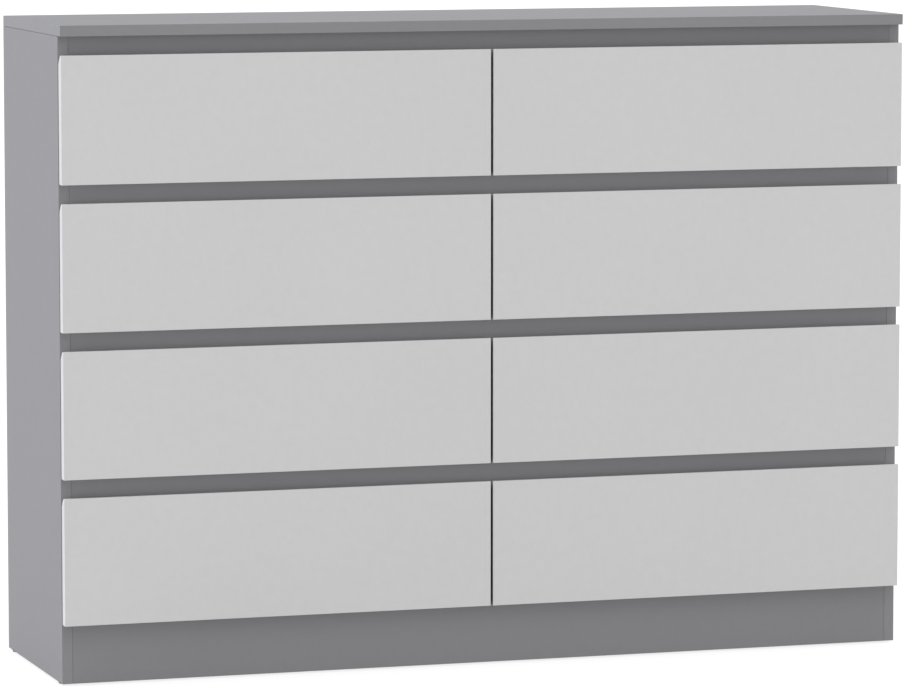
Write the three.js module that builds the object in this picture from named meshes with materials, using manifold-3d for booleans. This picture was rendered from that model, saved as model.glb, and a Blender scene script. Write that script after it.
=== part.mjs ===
// A wide chest of eight handleless drawers, two columns of four, built from
// flat-pack boards: a grey carcass and pale overlay fronts.
//
// Frame: millimetres, +Z up, the fronts face -Y. The origin is the centre of
// the footprint, on the floor.
import * as THREE from "three";
import { mergeVertices } from "three/addons/utils/BufferGeometryUtils.js";
import Module from "manifold-3d";

const wasm = await Module();
wasm.setup();

// ---------------------------------------------------------------------------
// Driving dimensions
// ---------------------------------------------------------------------------
const WIDTH = 1330; // over the side boards
const DEPTH = 375; // front face of the fronts to the joining strip of the back
const HEIGHT = 980; // floor to the top surface
const GAP = 0.3; // between pieces that touch

const BOARD = 16; // laminated chipboard of the carcass and the fronts
const WRAP = 12; // foil-wrapped board of the drawer boxes
const SHEET = 3; // hardboard of the backs and the drawer bottoms

const FRONT_FACE_Y = -DEPTH / 2; // the fronts and the top board's front edge
const FRONT_REVEAL = 0.5; // air between a front and the carcass behind it
const CARCASS_FRONT_Y = FRONT_FACE_Y + BOARD + FRONT_REVEAL;
const STRIP_LIP = 0.8; // each flange of the back's joining strip
const BACK_SHEET_Y = DEPTH / 2 - STRIP_LIP - GAP - SHEET; // front face of the back
const CARCASS_REAR_Y = BACK_SHEET_Y - GAP;

const GLIDE_HEIGHT = 2.7;
const CARCASS_LOW_Z = GLIDE_HEIGHT + GAP; // lower edges of sides and plinth
const TOP_LOW_Z = HEIGHT - BOARD;
const BOTTOM_HIGH_Z = 96; // upper face of the bottom board

const ROWS = 4;
const FRONT_HEIGHT = 190;
const GROOVE = 28; // finger groove above every row
const FRONT_LOW_Z = TOP_LOW_Z - ROWS * (FRONT_HEIGHT + GROOVE); // lowest row
const FRONT_SIDE_INSET = 1; // outer end of a front, in from the side's face
const FRONT_CENTRE_GAP = 4;
const FRONT_WIDTH = (WIDTH - 2 * FRONT_SIDE_INSET - FRONT_CENTRE_GAP) / 2;

const GRIP_HEIGHT = 13.5; // bevelled finger grip on a front's upper back edge
const GRIP_DEPTH = 11.5;
const GRIP_BULGE = 0.9; // how far the bevel bows out from a straight line

const RAIL_HEIGHT = 60;
const RAIL_BELOW_GROOVE = 16; // how far a rail reaches down behind a front
const TOP_RAIL_HEIGHT = 60;

const BAY_WIDTH = (WIDTH - 3 * BOARD) / 2;
const BAY_CENTRE_X = (BOARD + BAY_WIDTH) / 2;
const BOX_SIDE_PLAY = 3; // each side of a drawer box
const BOX_WIDTH = BAY_WIDTH - 2 * BOX_SIDE_PLAY;
const BOX_LENGTH = 330;
const BOX_HEIGHT = 126;
const BOX_LIFT = 22; // a box's lower edge above its front's lower edge
const BOX_TOP_RADIUS = 3.2; // foil-wrapped upper edges
const BOX_CORNER_RADIUS = 1.6; // foil over the two folded corners

const BOTTOM_LIFT = 10.2; // drawer bottom above the box's lower edge
const BOTTOM_ENGAGE = 4.5; // how far a bottom reaches into its grooves
const BOTTOM_GROOVE_DEPTH = 5;

const RUNNER_HEIGHT = 17;
const RUNNER_THICK = 9;
const RUNNER_FRONT_Y = -150;
const RUNNER_LENGTH = 300;
const RUNNER_LIFT = 74; // runner's centre line above a box's lower edge
const RUNNER_NOSE = 12; // tapered end that leads the drawer on
const RUNNER_SCREWS = [34, 150, 266]; // screw recesses, from the front end
const RUNNER_RECESS = 4; // depth of a recess
const RUNNER_PLAY = 0.3;
const RUNNER_GROOVE_DEPTH =
  RUNNER_THICK + GAP - BOX_SIDE_PLAY + 0.5; // cut in a drawer side

const GLIDE_RADIUS = 7.5;

// ---------------------------------------------------------------------------
// Materials
// ---------------------------------------------------------------------------
const paint = (color, roughness) =>
  new THREE.MeshStandardMaterial({ color, roughness, metalness: 0 });
const GREY_BOARD = () => paint(0x98989c, 0.55);
const PALE_BOARD = () => paint(0xdadad9, 0.5);
const WHITE_WRAP = () => paint(0xe6e5e1, 0.5);
const HARDBOARD = () => paint(0xdedcd6, 0.6);
const BACK_BOARD = () => paint(0xb39b7c, 0.75);
const CREAM_PLASTIC = () => paint(0xd9d6cc, 0.45);
const WHITE_PLASTIC = () => paint(0xe2e1dd, 0.4);
const DARK_PLASTIC = () => paint(0x3a3a3c, 0.5);

// ---------------------------------------------------------------------------
// Solids
// ---------------------------------------------------------------------------

// A closed geometry as a solid that can be cut.
function solid(geometry, matrix) {
  const g = geometry.clone();
  g.deleteAttribute("normal");
  g.deleteAttribute("uv");
  if (matrix) g.applyMatrix4(matrix);
  const merged = mergeVertices(g, 1e-4);
  return new wasm.Manifold(
    new wasm.Mesh({
      numProp: 3,
      vertProperties: merged.attributes.position.array,
      triVerts: new Uint32Array(merged.index.array),
    }),
  );
}

// The solid back as a three.js geometry, flat-shaded.
function geometryOf(made) {
  const m = made.getMesh();
  const points = new Float32Array(m.numVert * 3);
  for (let i = 0; i < m.numVert; i++)
    points.set(
      m.vertProperties.subarray(i * m.numProp, i * m.numProp + 3),
      i * 3,
    );
  const g = new THREE.BufferGeometry();
  g.setAttribute("position", new THREE.BufferAttribute(points, 3));
  g.setIndex(new THREE.BufferAttribute(new Uint32Array(m.triVerts), 1));
  const flat = g.toNonIndexed();
  flat.computeVertexNormals();
  return flat;
}

// A box between two corners.
function block([x0, y0, z0], [x1, y1, z1]) {
  return new THREE.BoxGeometry(x1 - x0, y1 - y0, z1 - z0).translate(
    (x0 + x1) / 2,
    (y0 + y1) / 2,
    (z0 + z1) / 2,
  );
}

function shapeOf(points) {
  return new THREE.Shape(points.map(([a, b]) => new THREE.Vector2(a, b)));
}

// Prisms along X (section points are [y, z]), Y ([x, z]) and Z ([x, y]).
function prismX(points, x0, x1) {
  return new THREE.ExtrudeGeometry(shapeOf(points), {
    depth: x1 - x0,
    bevelEnabled: false,
  }).applyMatrix4(
    new THREE.Matrix4()
      .makeBasis(
        new THREE.Vector3(0, 1, 0),
        new THREE.Vector3(0, 0, 1),
        new THREE.Vector3(1, 0, 0),
      )
      .setPosition(x0, 0, 0),
  );
}
function prismY(points, y0, y1) {
  return new THREE.ExtrudeGeometry(shapeOf(points.map(([x, z]) => [z, x])), {
    depth: y1 - y0,
    bevelEnabled: false,
  }).applyMatrix4(
    new THREE.Matrix4()
      .makeBasis(
        new THREE.Vector3(0, 0, 1),
        new THREE.Vector3(1, 0, 0),
        new THREE.Vector3(0, 1, 0),
      )
      .setPosition(0, y0, 0),
  );
}
function prismZ(points, z0, z1) {
  return new THREE.ExtrudeGeometry(shapeOf(points), {
    depth: z1 - z0,
    bevelEnabled: false,
  }).translate(0, 0, z0);
}

// What has to go from a square edge at (0, 0) to leave it with radius r. The
// material lies towards (sideA, sideB), and the waste runs a little past it.
function edgeWaste(at, sideA, sideB, r, steps = 5) {
  const past = 0.6;
  const points = [
    [-past * sideA, -past * sideB],
    [r * sideA, -past * sideB],
  ];
  for (let i = 0; i <= steps; i++) {
    const t = ((i / steps) * Math.PI) / 2;
    points.push([
      (r - r * Math.sin(t)) * sideA,
      (r - r * Math.cos(t)) * sideB,
    ]);
  }
  points.push([-past * sideA, r * sideB]);
  return points.map(([a, b]) => [a + at[0], b + at[1]]);
}

const object = new THREE.Group();

function piece(name, geometry, material, position = [0, 0, 0], parent = object) {
  const mesh = new THREE.Mesh(geometry, material);
  mesh.name = name;
  mesh.position.set(...position);
  parent.add(mesh);
  return mesh;
}

// A plain board given by its low corner and its size.
function board(name, low, size, material) {
  piece(
    name,
    new THREE.BoxGeometry(...size),
    material,
    low.map((v, i) => v + size[i] / 2),
  );
}

// ---------------------------------------------------------------------------
// Carcass
// ---------------------------------------------------------------------------
const SIDE_DEPTH = CARCASS_REAR_Y - CARCASS_FRONT_Y;
const SIDE_HEIGHT = TOP_LOW_Z - GAP - CARCASS_LOW_Z;
const BETWEEN_SIDES = WIDTH - 2 * BOARD - 2 * GAP;
const BEHIND_RAILS_Y = CARCASS_FRONT_Y + BOARD + GAP;

board(
  "top_panel",
  [-WIDTH / 2, FRONT_FACE_Y, TOP_LOW_Z],
  [WIDTH, CARCASS_REAR_Y - FRONT_FACE_Y, BOARD],
  GREY_BOARD(),
);
board(
  "side_panel_left",
  [-WIDTH / 2, CARCASS_FRONT_Y, CARCASS_LOW_Z],
  [BOARD, SIDE_DEPTH, SIDE_HEIGHT],
  GREY_BOARD(),
);
board(
  "side_panel_right",
  [WIDTH / 2 - BOARD, CARCASS_FRONT_Y, CARCASS_LOW_Z],
  [BOARD, SIDE_DEPTH, SIDE_HEIGHT],
  GREY_BOARD(),
);

// The bottom board lies behind the plinth, which is as high as its upper face.
board(
  "bottom_panel",
  [-BETWEEN_SIDES / 2, BEHIND_RAILS_Y, BOTTOM_HIGH_Z - BOARD],
  [BETWEEN_SIDES, CARCASS_REAR_Y - BEHIND_RAILS_Y, BOARD],
  GREY_BOARD(),
);
board(
  "plinth_front",
  [-BETWEEN_SIDES / 2, CARCASS_FRONT_Y, CARCASS_LOW_Z],
  [BETWEEN_SIDES, BOARD, BOTTOM_HIGH_Z - CARCASS_LOW_Z],
  GREY_BOARD(),
);
board(
  "plinth_rear",
  [-BETWEEN_SIDES / 2, CARCASS_REAR_Y - BOARD, CARCASS_LOW_Z],
  [BETWEEN_SIDES, BOARD, BOTTOM_HIGH_Z - BOARD - GAP - CARCASS_LOW_Z],
  GREY_BOARD(),
);
board(
  "centre_support",
  [-BOARD / 2, BEHIND_RAILS_Y, CARCASS_LOW_Z],
  [
    BOARD,
    CARCASS_REAR_Y - BOARD - GAP - BEHIND_RAILS_Y,
    BOTTOM_HIGH_Z - BOARD - GAP - CARCASS_LOW_Z,
  ],
  GREY_BOARD(),
);

// The partition stands on the bottom board, behind the rails, and stops short
// of the joining strip.
const STRIP_FRONT_Y = BACK_SHEET_Y - GAP - STRIP_LIP;
board(
  "centre_partition",
  [-BOARD / 2, BEHIND_RAILS_Y, BOTTOM_HIGH_Z + GAP],
  [
    BOARD,
    STRIP_FRONT_Y - GAP - BEHIND_RAILS_Y,
    TOP_LOW_Z - GAP - BOTTOM_HIGH_Z - GAP,
  ],
  GREY_BOARD(),
);

// Rails, unbroken from side to side, one behind every finger groove.
const rowLow = (row) => FRONT_LOW_Z + row * (FRONT_HEIGHT + GROOVE);
board(
  "rail_top",
  [-BETWEEN_SIDES / 2, CARCASS_FRONT_Y, TOP_LOW_Z - GAP - TOP_RAIL_HEIGHT],
  [BETWEEN_SIDES, BOARD, TOP_RAIL_HEIGHT],
  GREY_BOARD(),
);
["rail_lower", "rail_middle", "rail_upper"].forEach((name, i) =>
  board(
    name,
    [
      -BETWEEN_SIDES / 2,
      CARCASS_FRONT_Y,
      rowLow(i) + FRONT_HEIGHT - RAIL_BELOW_GROOVE,
    ],
    [BETWEEN_SIDES, BOARD, RAIL_HEIGHT],
    GREY_BOARD(),
  ),
);

// Back: two sheets nailed on the rear edges, joined by a strip of H section.
const SHEET_INSET = 2;
const SHEET_LOW_Z = BOTTOM_HIGH_Z - BOARD + SHEET_INSET;
const SHEET_HIGH_Z = HEIGHT - SHEET_INSET;
const STRIP_WEB = 1.4;
const SHEET_WIDTH = WIDTH / 2 - SHEET_INSET - STRIP_WEB / 2 - GAP;
board(
  "back_panel_left",
  [-WIDTH / 2 + SHEET_INSET, BACK_SHEET_Y, SHEET_LOW_Z],
  [SHEET_WIDTH, SHEET, SHEET_HIGH_Z - SHEET_LOW_Z],
  BACK_BOARD(),
);
board(
  "back_panel_right",
  [WIDTH / 2 - SHEET_INSET - SHEET_WIDTH, BACK_SHEET_Y, SHEET_LOW_Z],
  [SHEET_WIDTH, SHEET, SHEET_HIGH_Z - SHEET_LOW_Z],
  BACK_BOARD(),
);
{
  const half = 8; // half the width of a flange
  const w = STRIP_WEB / 2;
  const y0 = STRIP_FRONT_Y;
  const y1 = y0 + STRIP_LIP;
  const y3 = DEPTH / 2;
  const y2 = y3 - STRIP_LIP;
  piece(
    "back_joining_strip",
    prismZ(
      [
        [-half, y0],
        [half, y0],
        [half, y1],
        [w, y1],
        [w, y2],
        [half, y2],
        [half, y3],
        [-half, y3],
        [-half, y2],
        [-w, y2],
        [-w, y1],
        [-half, y1],
      ],
      BOTTOM_HIGH_Z + GAP,
      TOP_LOW_Z - GAP,
    ),
    CREAM_PLASTIC(),
  );
}

// Nail-on glides: a low button, flat underneath, with a rounded rim.
{
  const profile = [
    [0, 0],
    [5.2, 0],
    [6.5, 0.35],
    [7.2, 0.9],
    [GLIDE_RADIUS, 1.7],
    [GLIDE_RADIUS, GLIDE_HEIGHT],
    [0, GLIDE_HEIGHT],
  ].map(([r, z]) => new THREE.Vector2(r, z));
  const button = new THREE.LatheGeometry(profile, 24).rotateX(Math.PI / 2);
  const sideX = WIDTH / 2 - BOARD / 2;
  const frontY = CARCASS_FRONT_Y + 26;
  const rearY = CARCASS_REAR_Y - 26;
  for (const [name, x, y] of [
    ["glide_front_left", -sideX, frontY],
    ["glide_front_right", sideX, frontY],
    ["glide_rear_left", -sideX, rearY],
    ["glide_rear_right", sideX, rearY],
    ["glide_centre", 0, 0],
  ])
    piece(name, button.clone(), DARK_PLASTIC(), [x, y, 0]);
}

// ---------------------------------------------------------------------------
// Runner strips: screwed to the sides and the partition; a drawer side's groove
// rides on each. Local frame: base at x = 0, centred on z, front end at y = 0,
// standing out along +X.
// ---------------------------------------------------------------------------
function runnerGeometry() {
  const h = RUNNER_HEIGHT / 2;
  const soft = 1.2;
  const bar = solid(
    prismY(
      [
        [0, -h],
        [RUNNER_THICK - soft, -h],
        [RUNNER_THICK, -h + soft],
        [RUNNER_THICK, h - soft],
        [RUNNER_THICK - soft, h],
        [0, h],
      ],
      0,
      RUNNER_LENGTH,
    ),
  );
  // The nose narrows in height towards its tip, at the front end.
  const taper = (side) =>
    solid(
      prismX(
        [
          [-1, side * (h - 4)],
          [-1, side * (h + 2)],
          [RUNNER_NOSE, side * (h + 2)],
          [RUNNER_NOSE, side * h],
          [0, side * (h - 3.6)],
        ],
        -1,
        RUNNER_THICK + 1,
      ),
    );
  let made = bar.subtract(taper(1)).subtract(taper(-1));
  // Round recess for each screw head.
  const along = new THREE.Matrix4().makeRotationZ(-Math.PI / 2);
  for (const y of RUNNER_SCREWS) {
    const head = new THREE.CylinderGeometry(4.2, 4.2, 5, 12).applyMatrix4(along);
    head.translate(RUNNER_THICK - RUNNER_RECESS + 2.5, y, 0);
    made = made.subtract(solid(head));
  }
  return geometryOf(made);
}
const RUNNER = runnerGeometry();

// ---------------------------------------------------------------------------
// Drawers. Local frame of each drawer: x = 0 at the bay's centre, y as in the
// object, z = 0 at the front's lower edge.
// ---------------------------------------------------------------------------
const FRONT_BACK_Y = FRONT_FACE_Y + BOARD;
const BOX_FRONT_Y = FRONT_BACK_Y + GAP;
const BOX_REAR_Y = BOX_FRONT_Y + BOX_LENGTH;
const BOTTOM_GROOVE = [
  BOX_LIFT + BOTTOM_LIFT - GAP,
  BOX_LIFT + BOTTOM_LIFT + SHEET + GAP,
];

// A front is centred between the partition's gap and the side, not on the bay,
// so its ends are given in the drawer's frame. outward is -1 in the left column.
function frontGeometry(outward) {
  const inner = FRONT_CENTRE_GAP / 2 - BAY_CENTRE_X;
  const outer = inner + FRONT_WIDTH;
  const [x0, x1] = outward > 0 ? [inner, outer] : [-outer, -inner];
  const steps = 8;
  const section = [
    [FRONT_FACE_Y, 0],
    [FRONT_BACK_Y, 0],
  ];
  // Up the back face, then forward over the grip, which bows out a little.
  const a = [FRONT_BACK_Y, FRONT_HEIGHT - GRIP_HEIGHT];
  const b = [FRONT_BACK_Y - GRIP_DEPTH, FRONT_HEIGHT];
  const long = Math.hypot(b[0] - a[0], b[1] - a[1]);
  const out = [(b[1] - a[1]) / long, -(b[0] - a[0]) / long];
  for (let i = 0; i <= steps; i++) {
    const t = i / steps;
    const bow = 4 * GRIP_BULGE * t * (1 - t);
    section.push([
      a[0] + (b[0] - a[0]) * t + out[0] * bow,
      a[1] + (b[1] - a[1]) * t + out[1] * bow,
    ]);
  }
  section.push([FRONT_FACE_Y, FRONT_HEIGHT]);
  const slab = solid(prismX(section, x0, x1));
  const half = BOX_WIDTH / 2 - WRAP + BOTTOM_GROOVE_DEPTH;
  const groove = solid(
    block(
      [-half, FRONT_BACK_Y - BOTTOM_GROOVE_DEPTH, BOTTOM_GROOVE[0]],
      [half, FRONT_BACK_Y + 1, BOTTOM_GROOVE[1]],
    ),
  );
  return geometryOf(slab.subtract(groove));
}

// Side, back and side as one folded board, open to the front.
function wrapGeometry() {
  const w = BOX_WIDTH / 2;
  const i = w - WRAP;
  const y0 = BOX_FRONT_Y;
  const y1 = BOX_REAR_Y;
  const yi = y1 - WRAP;
  const z0 = BOX_LIFT;
  const z1 = BOX_LIFT + BOX_HEIGHT;
  const r = BOX_CORNER_RADIUS;
  const arc = (cx, cy, from) =>
    [0, 1, 2, 3].map((k) => {
      const t = from + (k / 3) * (Math.PI / 2);
      return [cx + r * Math.cos(t), cy + r * Math.sin(t)];
    });
  const plan = [
    [-w, y0],
    [-i, y0],
    [-i, yi],
    [i, yi],
    [i, y0],
    [w, y0],
    ...arc(w - r, y1 - r, 0),
    ...arc(-w + r, y1 - r, Math.PI / 2),
  ];
  let made = solid(prismZ(plan, z0, z1));

  // Upper edges. Outside, the two directions' waste simply crosses; inside a
  // corner, only what both directions remove goes.
  const R = BOX_TOP_RADIUS;
  const cut = (g) => {
    made = made.subtract(g);
  };
  for (const s of [-1, 1]) {
    cut(solid(prismY(edgeWaste([s * w, z1], -s, -1, R), y0 - 1, y1 + 1)));
    cut(solid(prismY(edgeWaste([s * i, z1], s, -1, R), y0 - 1, yi)));
  }
  cut(solid(prismX(edgeWaste([y1, z1], -1, -1, R), -w - 1, w + 1)));
  cut(solid(prismX(edgeWaste([yi, z1], 1, -1, R), -i, i)));
  for (const s of [-1, 1]) {
    const past = 0.6;
    const alongY = solid(
      prismY(edgeWaste([s * i, z1], s, -1, R), yi - past, yi + R),
    );
    const alongX = solid(
      prismX(
        edgeWaste([yi, z1], 1, -1, R),
        s > 0 ? i - past : -i - R,
        s > 0 ? i + R : -i + past,
      ),
    );
    cut(alongY.intersect(alongX));
  }

  // Groove for the bottom, all round the inside.
  const d = BOTTOM_GROOVE_DEPTH;
  cut(
    solid(
      block([-i - d, y0 - 1, BOTTOM_GROOVE[0]], [i + d, yi + d, BOTTOM_GROOVE[1]]),
    ),
  );

  // Groove for the runner in each outer face. It is open at the rear, where
  // the runner enters, and ends just ahead of the closed runner's nose.
  const mid = BOX_LIFT + RUNNER_LIFT;
  const gh = RUNNER_HEIGHT / 2 + RUNNER_PLAY;
  for (const s of [-1, 1]) {
    const deep = s * (w - RUNNER_GROOVE_DEPTH);
    const free = s * (w + 1);
    cut(
      solid(
        block(
          [Math.min(deep, free), RUNNER_FRONT_Y - 3, mid - gh],
          [Math.max(deep, free), y1 + 1, mid + gh],
        ),
      ),
    );
  }
  return geometryOf(made);
}

const WRAPPED = wrapGeometry();
const COLUMNS = [
  ["left", -1],
  ["right", 1],
];

for (const [side, outward] of COLUMNS) {
  const front = frontGeometry(outward);
  for (let k = 0; k < ROWS; k++) {
    const row = ROWS - 1 - k; // rows are named from the top
    const name = `${side}_${k + 1}`;
    const drawer = new THREE.Group();
    drawer.position.set(outward * BAY_CENTRE_X, 0, rowLow(row));
    object.add(drawer);

    piece(
      `drawer_front_${name}`,
      front.clone(),
      PALE_BOARD(),
      [0, 0, 0],
      drawer,
    );
    piece(
      `drawer_box_${name}`,
      WRAPPED.clone(),
      WHITE_WRAP(),
      [0, 0, 0],
      drawer,
    );

    const half = BOX_WIDTH / 2 - WRAP + BOTTOM_ENGAGE;
    const y0 = FRONT_BACK_Y - BOTTOM_ENGAGE;
    const y1 = BOX_REAR_Y - WRAP + BOTTOM_ENGAGE;
    piece(
      `drawer_bottom_${name}`,
      new THREE.BoxGeometry(2 * half, y1 - y0, SHEET),
      HARDBOARD(),
      [0, (y0 + y1) / 2, BOX_LIFT + BOTTOM_LIFT + SHEET / 2],
      drawer,
    );

    // The bay's two runners: on the side board and on the partition.
    const height = rowLow(row) + BOX_LIFT + RUNNER_LIFT;
    const outer = new THREE.Group();
    outer.position.set(
      outward * (BAY_CENTRE_X + BAY_WIDTH / 2 - GAP),
      RUNNER_FRONT_Y,
      height,
    );
    const inner = new THREE.Group();
    inner.position.set(
      outward * (BAY_CENTRE_X - BAY_WIDTH / 2 + GAP),
      RUNNER_FRONT_Y,
      height,
    );
    object.add(outer, inner);
    // A strip that stands out along -X is the same strip mirrored.
    const outerStrip = piece(
      `runner_${name}_outer`,
      RUNNER.clone(),
      WHITE_PLASTIC(),
      [0, 0, 0],
      outer,
    );
    const innerStrip = piece(
      `runner_${name}_inner`,
      RUNNER.clone(),
      WHITE_PLASTIC(),
      [0, 0, 0],
      inner,
    );
    outerStrip.scale.x = -outward;
    innerStrip.scale.x = outward;
  }
}

export default object;
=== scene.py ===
"""Looks of a wide eight-drawer dresser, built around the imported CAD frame.

Metres, +Z up, the drawer fronts face -Y. The CAD boards stay where they are
and get rounded edges and laminate materials; the fasteners, hairline joints
and other small pieces that the CAD leaves out are added here.
"""

import math

import bmesh
import bpy
from mathutils import Matrix, Vector


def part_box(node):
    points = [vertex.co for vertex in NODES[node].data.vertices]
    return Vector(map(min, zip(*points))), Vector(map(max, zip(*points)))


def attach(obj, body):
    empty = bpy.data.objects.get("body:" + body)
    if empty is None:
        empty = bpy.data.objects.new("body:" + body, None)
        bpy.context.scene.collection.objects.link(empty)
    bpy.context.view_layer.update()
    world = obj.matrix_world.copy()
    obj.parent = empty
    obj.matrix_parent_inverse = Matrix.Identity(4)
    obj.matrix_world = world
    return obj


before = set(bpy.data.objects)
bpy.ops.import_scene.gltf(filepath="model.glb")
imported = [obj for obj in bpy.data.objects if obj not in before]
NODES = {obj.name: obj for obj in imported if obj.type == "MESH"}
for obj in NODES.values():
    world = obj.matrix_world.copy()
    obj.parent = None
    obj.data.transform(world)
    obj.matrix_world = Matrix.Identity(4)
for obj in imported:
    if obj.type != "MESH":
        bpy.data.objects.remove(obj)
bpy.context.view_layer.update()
MM = 0.001

scene = bpy.context.scene

# ---------------------------------------------------------------------------
# Camera
# ---------------------------------------------------------------------------
cam_data = bpy.data.cameras.new("camera")
cam = bpy.data.objects.new("camera", cam_data)
scene.collection.objects.link(cam)
cam_data.sensor_width = 36.0
cam_data.sensor_fit = "HORIZONTAL"
cam_data.lens = 207.0947
cam_data.clip_start = 0.1
cam_data.clip_end = 400.0
AZ, EL = math.radians(-17.77), math.radians(6.03)
back = Vector(
    (math.sin(AZ) * math.cos(EL), -math.cos(AZ) * math.cos(EL), math.sin(EL))
)
right = Vector((0, 0, 1)).cross(back).normalized()
up = back.cross(right)
turn = Matrix((right, up, back)).transposed().to_4x4()
cam.matrix_world = Matrix.Translation((-2.44188, -7.61116, 1.31584)) @ turn
scene.camera = cam


# ---------------------------------------------------------------------------
# Materials
# ---------------------------------------------------------------------------
class Tree:
    """A material's node tree with short calls for the nodes used here."""

    def __init__(self, name):
        self.mat = bpy.data.materials.new(name)
        self.mat.use_nodes = True
        self.nt = self.mat.node_tree
        self.nt.nodes.clear()
        self.out = self.nt.nodes.new("ShaderNodeOutputMaterial")
        self.bsdf = self.nt.nodes.new("ShaderNodeBsdfPrincipled")
        self.nt.links.new(self.bsdf.outputs[0], self.out.inputs["Surface"])
        coords = self.nt.nodes.new("ShaderNodeTexCoord")
        self.object = coords.outputs["Object"]
        self.normal = coords.outputs["Normal"]

    def link(self, value, socket):
        if hasattr(value, "links"):
            self.nt.links.new(value, socket)
        else:
            socket.default_value = value

    def math(self, op, a, b=None, c=None, clamp=False):
        n = self.nt.nodes.new("ShaderNodeMath")
        n.operation = op
        n.use_clamp = clamp
        for value, socket in zip((a, b, c), n.inputs):
            if value is not None:
                self.link(value, socket)
        return n.outputs[0]

    def xyz(self, vector):
        n = self.nt.nodes.new("ShaderNodeSeparateXYZ")
        self.link(vector, n.inputs[0])
        return n.outputs

    def scaled(self, vector, factors):
        n = self.nt.nodes.new("ShaderNodeVectorMath")
        n.operation = "MULTIPLY"
        self.link(vector, n.inputs[0])
        n.inputs[1].default_value = factors
        return n.outputs[0]

    def noise(self, scale, detail=2.0, rough=0.5, vector=None, distort=0.0):
        n = self.nt.nodes.new("ShaderNodeTexNoise")
        self.link(vector or self.object, n.inputs["Vector"])
        n.inputs["Scale"].default_value = scale
        n.inputs["Detail"].default_value = detail
        n.inputs["Roughness"].default_value = rough
        n.inputs["Distortion"].default_value = distort
        return n.outputs["Fac"]

    def voronoi(self, scale, feature="F1", vector=None):
        n = self.nt.nodes.new("ShaderNodeTexVoronoi")
        n.feature = feature
        self.link(vector or self.object, n.inputs["Vector"])
        n.inputs["Scale"].default_value = scale
        return n

    def ramp(self, fac, stops, interpolation="LINEAR"):
        n = self.nt.nodes.new("ShaderNodeValToRGB")
        n.color_ramp.interpolation = interpolation
        els = n.color_ramp.elements
        while len(els) > 1:
            els.remove(els[-1])
        for i, (at, colour) in enumerate(stops):
            e = els[0] if i == 0 else els.new(at)
            e.position = at
            e.color = (*colour, 1) if len(colour) == 3 else colour
        self.link(fac, n.inputs[0])
        return n.outputs[0]

    def mix(self, fac, a, b, blend="MIX"):
        n = self.nt.nodes.new("ShaderNodeMix")
        n.data_type = "RGBA"
        n.blend_type = blend
        n.clamp_factor = True
        self.link(fac, n.inputs[0])
        for value, socket in ((a, n.inputs[6]), (b, n.inputs[7])):
            if isinstance(value, (tuple, list)):
                socket.default_value = (*value, 1) if len(value) == 3 else value
            else:
                self.nt.links.new(value, socket)
        return n.outputs[2]

    def span(self, value, low, high, to_low=0.0, to_high=1.0):
        n = self.nt.nodes.new("ShaderNodeMapRange")
        n.clamp = True
        self.link(value, n.inputs[0])
        for v, socket in zip((low, high, to_low, to_high), list(n.inputs)[1:5]):
            socket.default_value = v
        return n.outputs[0]

    def bump(self, height, distance, strength=1.0, normal=None):
        n = self.nt.nodes.new("ShaderNodeBump")
        n.inputs["Strength"].default_value = strength
        n.inputs["Distance"].default_value = distance
        self.link(height, n.inputs["Height"])
        if normal is not None:
            self.nt.links.new(normal, n.inputs["Normal"])
        return n.outputs[0]

    def finish(self, colour, rough, normal=None, ior=1.5, level=0.5):
        self.link(colour, self.bsdf.inputs["Base Color"])
        self.link(rough, self.bsdf.inputs["Roughness"])
        if normal is not None:
            self.nt.links.new(normal, self.bsdf.inputs["Normal"])
        self.bsdf.inputs["IOR"].default_value = ior
        self.bsdf.inputs["Specular IOR Level"].default_value = level
        return self.mat


def tone(colour, k):
    return tuple(c * k for c in colour)


def chips(t):
    """Raw edge of particle board: chips and resin in browns."""
    cells = t.voronoi(620.0).outputs["Color"]
    n = t.nt.nodes.new("ShaderNodeSeparateColor")
    t.nt.links.new(cells, n.inputs[0])
    shade = t.ramp(
        n.outputs[0],
        [
            (0.0, (0.13, 0.078, 0.038)),
            (0.3, (0.27, 0.17, 0.088)),
            (0.62, (0.42, 0.29, 0.165)),
            (1.0, (0.55, 0.41, 0.26)),
        ],
    )
    return shade


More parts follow.
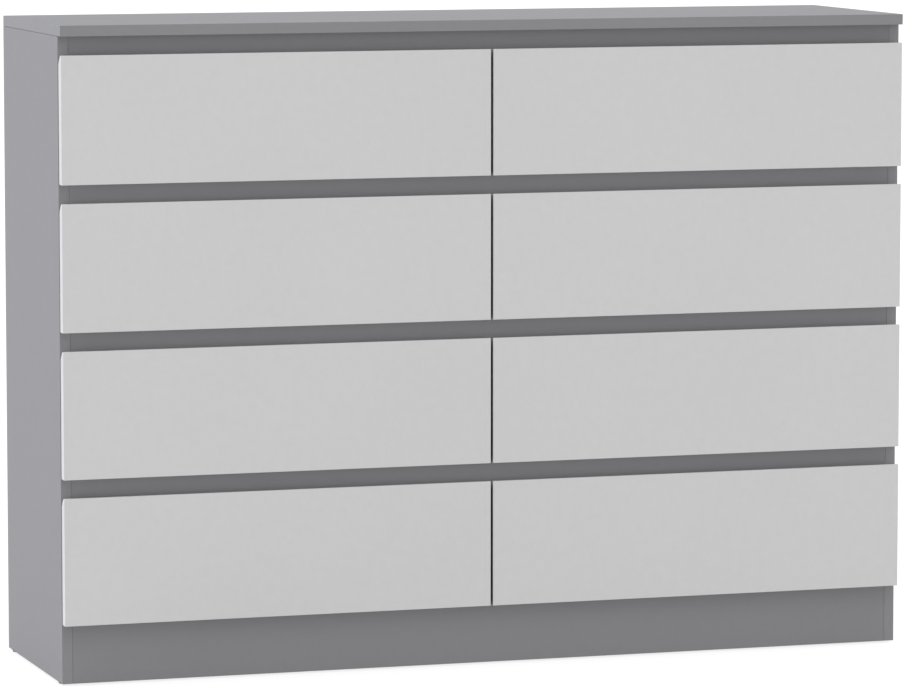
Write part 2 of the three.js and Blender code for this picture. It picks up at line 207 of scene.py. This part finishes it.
def laminate(name, face, band, lo, hi, thin, rough=0.5, raw=(), painted_gap_shade=0.0):
    """Melamine-faced board. face and band are the colours of the faces and of
    the edge bands, lo and hi the board's corners, thin its thickness axis, and
    raw the (axis, side) pairs of edges left unbanded. The last argument is painted
    shade: it darkens the colour of the edges that face left and right where another
    board stands near them, in place of the shade in the gap between them."""
    t = Tree(name)
    x = t.xyz(t.object)

    # The print's own faint unevenness, at three sizes.
    wide = t.span(t.noise(3.1, 2.0), 0.3, 0.7, 0.990, 1.008)
    cloud = t.span(t.noise(70.0, 3.0, 0.55), 0.3, 0.7, 0.988, 1.012)
    grain = t.span(t.noise(950.0, 2.0, 0.6), 0.25, 0.75, 0.965, 1.03)
    vary = t.math("MULTIPLY", t.math("MULTIPLY", wide, cloud), grain)

    # Distance to the nearest edge of the board's face, and so the edge band:
    # its outer skin, and the glue line that shows as a hairline on the face.
    far = None
    for axis in (0, 1, 2):
        if axis == thin:
            continue
        for side, at in ((-1, lo[axis]), (1, hi[axis])):
            d = (
                t.math("SUBTRACT", x[axis], at)
                if side < 0
                else t.math("SUBTRACT", at, x[axis])
            )
            far = d if far is None else t.math("MINIMUM", far, d)
    in_band = t.span(far, 0.75 * MM, 0.9 * MM, 1.0, 0.0)
    line = t.math(
        "MULTIPLY",
        t.span(far, 0.78 * MM, 0.88 * MM, 0.0, 1.0),
        t.span(far, 0.92 * MM, 1.04 * MM, 1.0, 0.0),
    )
    colour = t.mix(in_band, face, band)
    colour = t.mix(t.math("MULTIPLY", line, 0.30), colour, tone(face, 0.55))
    shade = t.nt.nodes.new("ShaderNodeCombineXYZ")
    for i in range(3):
        t.nt.links.new(vary, shade.inputs[i])
    colour = t.mix(1.0, colour, shade.outputs[0], "MULTIPLY")
    # Painted shade: where another board stands within 14 mm, an ambient-occlusion mask
    # darkens the colour of the edges facing left and right. This stands in for the shade in
    # the gaps between the drawer fronts.
    if painted_gap_shade:
        near = t.nt.nodes.new("ShaderNodeAmbientOcclusion")
        near.samples = 4
        near.inputs["Distance"].default_value = 14 * MM
        upright = t.span(
            t.math("ABSOLUTE", t.xyz(t.normal)[0]), 0.35, 0.75, 0.0, painted_gap_shade
        )
        gap_shade_mask = t.span(near.outputs["AO"], 0.15, 0.55, 1.0, 0.0)
        colour = t.mix(t.math("MULTIPLY", gap_shade_mask, upright), colour, tone(face, 0.12))

    rough_n = t.span(t.noise(420.0, 2.0, 0.6), 0.3, 0.7, rough - 0.035, rough + 0.035)
    rough_n = t.math("SUBTRACT", rough_n, t.math("MULTIPLY", in_band, 0.06))

    for axis, side in raw:
        at = lo[axis] if side < 0 else hi[axis]
        d = (
            t.math("SUBTRACT", x[axis], at)
            if side < 0
            else t.math("SUBTRACT", at, x[axis])
        )
        bare = t.span(d, 0.02 * MM, 0.06 * MM, 1.0, 0.0)
        colour = t.mix(bare, colour, chips(t))
        rough_n = t.math("ADD", rough_n, t.math("MULTIPLY", bare, 0.35), clamp=True)

    # The pressed texture of the overlay, finer than a millimetre.
    pearl = t.voronoi(1350.0, "SMOOTH_F1").outputs["Distance"]
    fine = t.noise(2600.0, 1.0)
    height = t.math("ADD", pearl, t.math("MULTIPLY", fine, 0.5))
    flat = t.math("SUBTRACT", 1.0, t.math("MULTIPLY", in_band, 0.6))
    normal = t.bump(t.math("MULTIPLY", height, flat), 0.022 * MM, 0.55)
    groove = t.bump(t.math("SUBTRACT", 1.0, line), 0.05 * MM, 0.6, normal)
    return t.finish(colour, rough_n, groove)


def foil(name, colour, lo, hi, rough=0.42):
    """White foil-wrapped board of a drawer box, bare along its lower edge."""
    t = Tree(name)
    x = t.xyz(t.object)
    vary = t.span(t.noise(45.0, 3.0), 0.3, 0.7, 0.985, 1.01)
    fleck = t.span(t.noise(1100.0, 2.0), 0.3, 0.7, 0.975, 1.02)
    k = t.math("MULTIPLY", vary, fleck)
    shade = t.nt.nodes.new("ShaderNodeCombineXYZ")
    for i in range(3):
        t.nt.links.new(k, shade.inputs[i])
    c = t.mix(1.0, colour, shade.outputs[0], "MULTIPLY")
    # The two mitred folds show as a hairline across the upper edge.
    for side in (-1, 1):
        corner_x = hi[0] if side > 0 else lo[0]
        dx = (
            t.math("SUBTRACT", corner_x, x[0])
            if side > 0
            else t.math("SUBTRACT", x[0], corner_x)
        )
        dy = t.math("SUBTRACT", hi[1], x[1])
        apart = t.math("ABSOLUTE", t.math("SUBTRACT", dx, dy))
        near = t.span(dx, 12.2 * MM, 12.6 * MM, 1.0, 0.0)
        fold = t.math(
            "MULTIPLY", t.span(apart, 0.10 * MM, 0.22 * MM, 1.0, 0.0), near
        )
        c = t.mix(t.math("MULTIPLY", fold, 0.75), c, tone(colour, 0.22))
    bare = t.span(t.math("SUBTRACT", x[2], lo[2]), 0.02 * MM, 0.06 * MM, 1.0, 0.0)
    c = t.mix(bare, c, chips(t))
    r = t.span(t.noise(300.0, 2.0), 0.3, 0.7, rough - 0.04, rough + 0.05)
    height = t.math(
        "ADD",
        t.noise(900.0, 3.0, 0.6),
        t.math("MULTIPLY", t.noise(85.0, 2.0), 1.5),
    )
    return t.finish(c, r, t.bump(height, 0.03 * MM, 0.5))


def hardboard(name, faced, bare, axis, face_at, side, rough=0.55):
    """Hardboard lacquered on one side: faced is that side's colour, bare the raw
    fibre's; the lacquered side is at face_at along axis, looking to side."""
    t = Tree(name)
    x = t.xyz(t.object)
    fibres = t.noise(260.0, 6.0, 0.7, distort=1.2)
    threads = t.noise(
        1.0, 4.0, 0.65, t.scaled(t.object, (900.0, 900.0, 260.0)), distort=0.8
    )
    mottle = t.noise(9.0, 3.0, 0.6)
    raw = t.ramp(
        t.math("ADD", t.math("MULTIPLY", fibres, 0.6), t.math("MULTIPLY", threads, 0.4)),
        [
            (0.28, tone(bare, 0.62)),
            (0.46, tone(bare, 0.92)),
            (0.60, bare),
            (0.78, tone(bare, 1.28)),
        ],
    )
    k = t.span(mottle, 0.3, 0.7, 0.965, 1.035)
    shade = t.nt.nodes.new("ShaderNodeCombineXYZ")
    for i in range(3):
        t.nt.links.new(k, shade.inputs[i])
    raw = t.mix(1.0, raw, shade.outputs[0], "MULTIPLY")
    d = t.math("SUBTRACT", x[axis], face_at)
    lacquered = (
        t.span(d, -0.25 * MM, -0.10 * MM, 0.0, 1.0)
        if side > 0
        else t.span(d, 0.10 * MM, 0.25 * MM, 1.0, 0.0)
    )
    paint = t.mix(
        t.span(t.noise(400.0, 3.0, 0.6), 0.35, 0.65, 0.0, 1.0),
        tone(faced, 0.982),
        tone(faced, 1.012),
    )
    c = t.mix(lacquered, raw, paint)
    r = t.mix(lacquered, (0.8, 0.8, 0.8), (rough, rough, rough))
    n = t.nt.nodes.new("ShaderNodeSeparateColor")
    t.nt.links.new(r, n.inputs[0])
    r = t.math(
        "ADD", n.outputs[0], t.span(t.noise(500.0, 2.0), 0.3, 0.7, -0.05, 0.05)
    )
    height = t.math(
        "ADD", fibres, t.math("MULTIPLY", t.noise(900.0, 2.0), 0.4)
    )
    return t.finish(c, r, t.bump(height, 0.05 * MM, 0.5))


def plastic(name, colour, rough, scale=1400.0, along=(1.0, 1.0, 1.0)):
    """Moulded or extruded plastic; along stretches its fine texture."""
    t = Tree(name)
    at = t.scaled(t.object, along)
    k = t.span(t.noise(60.0, 3.0), 0.3, 0.7, 0.96, 1.03)
    shade = t.nt.nodes.new("ShaderNodeCombineXYZ")
    for i in range(3):
        t.nt.links.new(k, shade.inputs[i])
    c = t.mix(1.0, colour, shade.outputs[0], "MULTIPLY")
    r = t.span(t.noise(scale * 0.4, 2.0, 0.5, at), 0.3, 0.7, rough - 0.05, rough + 0.06)
    return t.finish(c, r, t.bump(t.noise(scale, 2.0, 0.5, at), 0.02 * MM, 0.5))


def metal(name, colour, rough, scale=900.0):
    """Zinc-plated or die-cast metal with handling marks."""
    t = Tree(name)
    k = t.span(t.noise(scale * 0.3, 4.0, 0.6), 0.3, 0.7, 0.82, 1.08)
    shade = t.nt.nodes.new("ShaderNodeCombineXYZ")
    for i in range(3):
        t.nt.links.new(k, shade.inputs[i])
    c = t.mix(1.0, colour, shade.outputs[0], "MULTIPLY")
    r = t.span(t.noise(scale, 3.0, 0.6), 0.3, 0.7, rough - 0.08, rough + 0.12)
    t.bsdf.inputs["Metallic"].default_value = 1.0
    return t.finish(c, r, t.bump(t.noise(scale * 2, 2.0), 0.02 * MM, 0.4))


GREY = (0.2585, 0.2580, 0.2685)
GREY_BAND = (0.270, 0.2695, 0.2785)
PALE = (0.700, 0.6965, 0.6945)
PALE_BAND = (0.725, 0.722, 0.720)
FOIL = (0.715, 0.710, 0.693)
LACQUER = (0.700, 0.695, 0.678)
BROWN = (0.300, 0.190, 0.105)


# ---------------------------------------------------------------------------
# Geometry helpers
# ---------------------------------------------------------------------------
def soften(o, width, segments=2, angle=32.0):
    """Rounds a CAD board's sharp edges. Only modifiers: the mesh stays."""
    w = o.modifiers.new("weld", "WELD")
    w.merge_threshold = 1e-5
    b = o.modifiers.new("edges", "BEVEL")
    b.width = width
    b.segments = segments
    b.limit_method = "ANGLE"
    b.angle_limit = math.radians(angle)
    b.harden_normals = True
    b.use_clamp_overlap = True
    n = o.modifiers.new("normals", "WEIGHTED_NORMAL")
    n.keep_sharp = True
    n.weight = 60


def dress(o, mat):
    o.data.materials.clear()
    o.data.materials.append(mat)
    for p in o.data.polygons:
        p.material_index = 0


def smooth_all(o):
    for p in o.data.polygons:
        p.use_smooth = True


def new_object(name, bm, mat, body):
    me = bpy.data.meshes.new(name)
    bm.to_mesh(me)
    bm.free()
    me.materials.append(mat)
    o = bpy.data.objects.new(name, me)
    scene.collection.objects.link(o)
    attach(o, body)
    return o


def lathe(bm, profile, steps, matrix):
    """Adds the closed solid that profile, [(radius, height)] from the axis to
    the axis, sweeps about Z, placed by matrix."""
    rings = []
    for r, z in profile:
        if r < 1e-9:
            rings.append([bm.verts.new(matrix @ Vector((0, 0, z)))])
        else:
            rings.append(
                [
                    bm.verts.new(
                        matrix
                        @ Vector(
                            (
                                r * math.cos(2 * math.pi * i / steps),
                                r * math.sin(2 * math.pi * i / steps),
                                z,
                            )
                        )
                    )
                    for i in range(steps)
                ]
            )
    for a, b in zip(rings, rings[1:]):
        for i in range(steps):
            j = (i + 1) % steps
            if len(a) == 1 and len(b) == 1:
                continue
            if len(a) == 1:
                bm.faces.new((a[0], b[i], b[j]))
            elif len(b) == 1:
                bm.faces.new((a[i], b[0], a[j]))
            else:
                bm.faces.new((a[i], b[i], b[j], a[j]))


def facing(at, direction):
    """Places a lathe's +Z along direction with its origin at a point."""
    d = Vector(direction).normalized()
    return Matrix.Translation(at) @ d.to_track_quat("Z", "Y").to_matrix().to_4x4()


def cross_recess(bm, matrix, radius, rim, depth, arm, half, steps=32):
    """A disc head with a cross-shaped recess: its top face is an annulus round
    the cross, the cross has walls and a floor, and the rim is rounded."""
    def v(x, y, z):
        return bm.verts.new(matrix @ Vector((x, y, z)))

    top = [
        v((radius - rim) * math.cos(2 * math.pi * i / steps),
          (radius - rim) * math.sin(2 * math.pi * i / steps), 0)
        for i in range(steps)
    ]
    mid = [
        v((radius - rim * 0.3) * math.cos(2 * math.pi * i / steps),
          (radius - rim * 0.3) * math.sin(2 * math.pi * i / steps), -rim * 0.3)
        for i in range(steps)
    ]
    low = [
        v(radius * math.cos(2 * math.pi * i / steps),
          radius * math.sin(2 * math.pi * i / steps), -rim)
        for i in range(steps)
    ]
    base = [
        v(radius * math.cos(2 * math.pi * i / steps),
          radius * math.sin(2 * math.pi * i / steps), -depth - 0.4 * MM)
        for i in range(steps)
    ]
    for a, b in ((mid, top), (low, mid), (base, low)):
        for i in range(steps):
            j = (i + 1) % steps
            bm.faces.new((a[i], a[j], b[j], b[i]))
    bm.faces.new(list(reversed(base)))
    outline = []
    for q in range(4):
        c, s = math.cos(q * math.pi / 2), math.sin(q * math.pi / 2)
        for x, y in ((half, half), (half, arm), (-half, arm)):
            outline.append((x * c - y * s, x * s + y * c))
    # Each arm's outline runs half,half -> half,arm -> -half,arm, turned a
    # quarter each time, which closes a twelve-cornered cross.
    hole = [v(x, y, 0) for x, y in outline]
    floor = [v(x * 0.86, y * 0.86, -depth) for x, y in outline]
    n = len(hole)
    for i in range(n):
        j = (i + 1) % n
        bm.faces.new((hole[i], hole[j], floor[j], floor[i]))
    bm.faces.new(floor)
    edges = []
    for ring in (top, hole):
        for i in range(len(ring)):
            a, b = ring[i], ring[(i + 1) % len(ring)]
            edges.append(bm.edges.get((a, b)) or bm.edges.new((a, b)))
    bmesh.ops.triangle_fill(bm, use_beauty=True, edges=edges)


def tidy(bm):
    bmesh.ops.recalc_face_normals(bm, faces=bm.faces)


# ---------------------------------------------------------------------------
# Boards of the carcass
# ---------------------------------------------------------------------------
THIN = {
    "top_panel": 2,
    "bottom_panel": 2,
    "side_panel_left": 0,
    "side_panel_right": 0,
    "centre_partition": 0,
    "centre_support": 0,
    "plinth_front": 1,
    "plinth_rear": 1,
    "rail_top": 1,
    "rail_upper": 1,
    "rail_middle": 1,
    "rail_lower": 1,
}
RAW = {
    "top_panel": [(1, 1)],
    "bottom_panel": [(1, 1), (0, -1), (0, 1)],
    "side_panel_left": [(1, 1)],
    "side_panel_right": [(1, 1)],
    "centre_partition": [(1, 1), (2, -1), (2, 1)],
    "centre_support": [(1, 1), (1, -1), (2, -1), (2, 1)],
    "plinth_rear": [(2, 1)],
}
for name, thin in THIN.items():
    o = NODES[name]
    lo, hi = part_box(name)
    dress(o, laminate(f"mat_{name}", GREY, GREY_BAND, lo, hi, thin, 0.5, RAW.get(name, ())))
    soften(o, 0.55 * MM, 3)

# ---------------------------------------------------------------------------
# Drawers
# ---------------------------------------------------------------------------
SIDES = ("left", "right")
ROWS = (1, 2, 3, 4)
for side in SIDES:
    for row in ROWS:
        tag = f"{side}_{row}"
        body = f"drawer_{tag}"
        o = NODES[f"drawer_front_{tag}"]
        lo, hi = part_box(o.name)
        # The last argument, 0.9, paints shade into the colour of each front's left and
        # right edges to give the dark gaps between the fronts.
        dress(
            o,
            laminate(
                f"mat_front_{tag}", PALE, PALE_BAND, lo, hi, 1, 0.46, (), 0.9
            ),
        )
        soften(o, 0.9 * MM, 3)

        o = NODES[f"drawer_box_{tag}"]
        lo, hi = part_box(o.name)
        dress(o, foil(f"mat_box_{tag}", FOIL, lo, hi))
        soften(o, 0.3 * MM, 2, 40.0)

        o = NODES[f"drawer_bottom_{tag}"]
        lo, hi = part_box(o.name)
        dress(
            o,
            hardboard(f"mat_bottom_{tag}", LACQUER, BROWN, 2, hi[2], 1, 0.5),
        )
        soften(o, 0.2 * MM, 2)

# ---------------------------------------------------------------------------
# Backs, strip, runners, glides
# ---------------------------------------------------------------------------
for name in ("back_panel_left", "back_panel_right"):
    o = NODES[name]
    lo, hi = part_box(name)
    dress(o, hardboard(f"mat_{name}", LACQUER, BROWN, 1, lo[1], -1, 0.55))
    soften(o, 0.25 * MM, 2)

STRIP = plastic("mat_strip", (0.640, 0.600, 0.520), 0.42, 1200.0, (1.0, 1.0, 0.05))
dress(NODES["back_joining_strip"], STRIP)
soften(NODES["back_joining_strip"], 0.15 * MM, 2)

RUNNER = plastic("mat_runner", (0.690, 0.685, 0.668), 0.38, 1500.0, (1.0, 0.3, 1.0))
GLIDE = plastic("mat_glide", (0.030, 0.030, 0.032), 0.45)
for name, o in NODES.items():
    if name.startswith("runner_"):
        dress(o, RUNNER)
        soften(o, 0.35 * MM, 2)
    elif name.startswith("glide_"):
        dress(o, GLIDE)
        smooth_all(o)
        w = o.modifiers.new("weld", "WELD")
        w.merge_threshold = 1e-5

# ---------------------------------------------------------------------------
# Fasteners that the CAD leaves out
# ---------------------------------------------------------------------------
ZINC = metal("mat_zinc", (0.62, 0.61, 0.58), 0.38)
NAIL = metal("mat_nail", (0.50, 0.48, 0.45), 0.42)

# Screws in the runners: one object per strip, heads sunk in its recesses.
for side in SIDES:
    for row in ROWS:
        for end in ("outer", "inner"):
            name = f"runner_{side}_{row}_{end}"
            lo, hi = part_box(name)
            # The strip's free face looks into its bay.
            way = 1 if (side == "left") == (end == "outer") else -1
            face_x = hi[0] if way > 0 else lo[0]
            z = (lo[2] + hi[2]) / 2
            bm = bmesh.new()
            for dy in (34, 150, 266):
                at = Vector((face_x - way * 1.5 * MM, lo[1] + dy * MM, z))
                cross_recess(
                    bm,
                    facing(at, (way, 0, 0)),
                    3.6 * MM,
                    0.5 * MM,
                    1.3 * MM,
                    2.0 * MM,
                    0.45 * MM,
                    24,
                )
            tidy(bm)
            new_object(f"screws_{name}", bm, ZINC, "carcass")

# Cam locks: two in each side of a drawer box, near the front.
for side in SIDES:
    for row in ROWS:
        tag = f"{side}_{row}"
        lo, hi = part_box(f"drawer_box_{tag}")
        bm = bmesh.new()
        for way, x in ((1, lo[0] + 12 * MM), (-1, hi[0] - 12 * MM)):
            for dz in (42, 100):
                at = Vector((x + way * 0.18 * MM, lo[1] + 24 * MM, lo[2] + dz * MM))
                cross_recess(
                    bm,
                    facing(at, (way, 0, 0)),
                    7.4 * MM,
                    0.45 * MM,
                    2.6 * MM,
                    3.6 * MM,
                    0.8 * MM,
                    40,
                )
        tidy(bm)
        new_object(f"cams_{tag}", bm, ZINC, f"drawer_{tag}")

# Nails that hold the back sheets.
for side, way in (("left", -1), ("right", 1)):
    lo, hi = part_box(f"back_panel_{side}")
    face = hi[1]
    spots = []
    for i in range(6):
        x = way * (30 + i * 122.5) * MM
        spots += [(x, 971.5 * MM), (x, 88.5 * MM)]
    for i in range(1, 7):
        spots.append((way * 657 * MM, (88.5 + i * 126.1) * MM))
    bm = bmesh.new()
    for x, z in spots:
        lathe(
            bm,
            [
                (0, 0.55 * MM),
                (0.9 * MM, 0.50 * MM),
                (1.5 * MM, 0.32 * MM),
                (1.8 * MM, 0.05 * MM),
                (1.8 * MM, -0.3 * MM),
                (0, -0.3 * MM),
            ],
            16,
            facing(Vector((x, face, z)), (0, 1, 0)),
        )
    tidy(bm)
    o = new_object(f"nails_{side}", bm, NAIL, "carcass")
    smooth_all(o)

# ---------------------------------------------------------------------------
# Floor, world and lights
# ---------------------------------------------------------------------------
bm = bmesh.new()
bmesh.ops.create_grid(bm, x_segments=8, y_segments=8, size=150)
me = bpy.data.meshes.new("floor")
bm.to_mesh(me)
bm.free()
floor = bpy.data.objects.new("floor", me)
scene.collection.objects.link(floor)
fm = bpy.data.materials.new("mat_floor")
fm.use_nodes = True
nt = fm.node_tree
nt.nodes.clear()


def floor_look(albedo, glow):
    """A diffuse floor with a little light of its own."""
    add = nt.nodes.new("ShaderNodeAddShader")
    dif = nt.nodes.new("ShaderNodeBsdfDiffuse")
    dif.inputs[0].default_value = (albedo, albedo, albedo, 1)
    emi = nt.nodes.new("ShaderNodeEmission")
    emi.inputs[0].default_value = (1, 1, 1, 1)
    emi.inputs[1].default_value = glow
    nt.links.new(dif.outputs[0], add.inputs[0])
    nt.links.new(emi.outputs[0], add.inputs[1])
    return add


# It looks white, and lights the object from below like a pale grey one.
f_out = nt.nodes.new("ShaderNodeOutputMaterial")
f_mix = nt.nodes.new("ShaderNodeMixShader")
f_ray = nt.nodes.new("ShaderNodeLightPath")
nt.links.new(f_ray.outputs["Is Camera Ray"], f_mix.inputs[0])
nt.links.new(floor_look(0.35, 0.32).outputs[0], f_mix.inputs[1])
nt.links.new(floor_look(0.25, 0.80).outputs[0], f_mix.inputs[2])
nt.links.new(f_mix.outputs[0], f_out.inputs[0])
me.materials.append(fm)

world = bpy.data.worlds.new("studio")
scene.world = world
world.use_nodes = True
nt = world.node_tree
nt.nodes.clear()
w_out = nt.nodes.new("ShaderNodeOutputWorld")
w_mix = nt.nodes.new("ShaderNodeMixShader")
w_lit = nt.nodes.new("ShaderNodeBackground")
w_lit.inputs[0].default_value = (1.0, 1.0, 1.0, 1)
w_lit.inputs[1].default_value = 0.39
w_seen = nt.nodes.new("ShaderNodeBackground")
w_seen.inputs[0].default_value = (1, 1, 1, 1)
w_seen.inputs[1].default_value = 1.0
w_ray = nt.nodes.new("ShaderNodeLightPath")
nt.links.new(w_ray.outputs["Is Camera Ray"], w_mix.inputs[0])
nt.links.new(w_lit.outputs[0], w_mix.inputs[1])
nt.links.new(w_seen.outputs[0], w_mix.inputs[2])
nt.links.new(w_mix.outputs[0], w_out.inputs[0])


def soft(name, azimuth, elevation, spread, strength, colour=(1, 1, 1)):
    """A far softbox, so that it lights the whole width evenly. azimuth is where
    it stands: 0 in front, 90 to the right; spread is how wide it looks."""
    d = bpy.data.lights.new(name, "SUN")
    d.energy = strength * math.pi
    d.angle = math.radians(spread)
    d.color = colour
    o = bpy.data.objects.new(name, d)
    scene.collection.objects.link(o)
    a, e = math.radians(azimuth), math.radians(elevation)
    at = Vector((math.sin(a) * math.cos(e), -math.cos(a) * math.cos(e), math.sin(e)))
    o.location = at * 3.0
    o.rotation_mode = "QUATERNION"
    o.rotation_quaternion = at.to_track_quat("Z", "Y")
    return o


soft("top", 0, 85, 80, 0.535, (0.990, 0.992, 1.018))
soft("left", -120, 20, 70, 0.645, (0.980, 0.978, 1.055))
soft("front_right", 35, 30, 60, 0.19)
soft("right", 110, 12, 44, 0.48)

scene.view_settings.view_transform = "Standard"
scene.view_settings.look = "None"
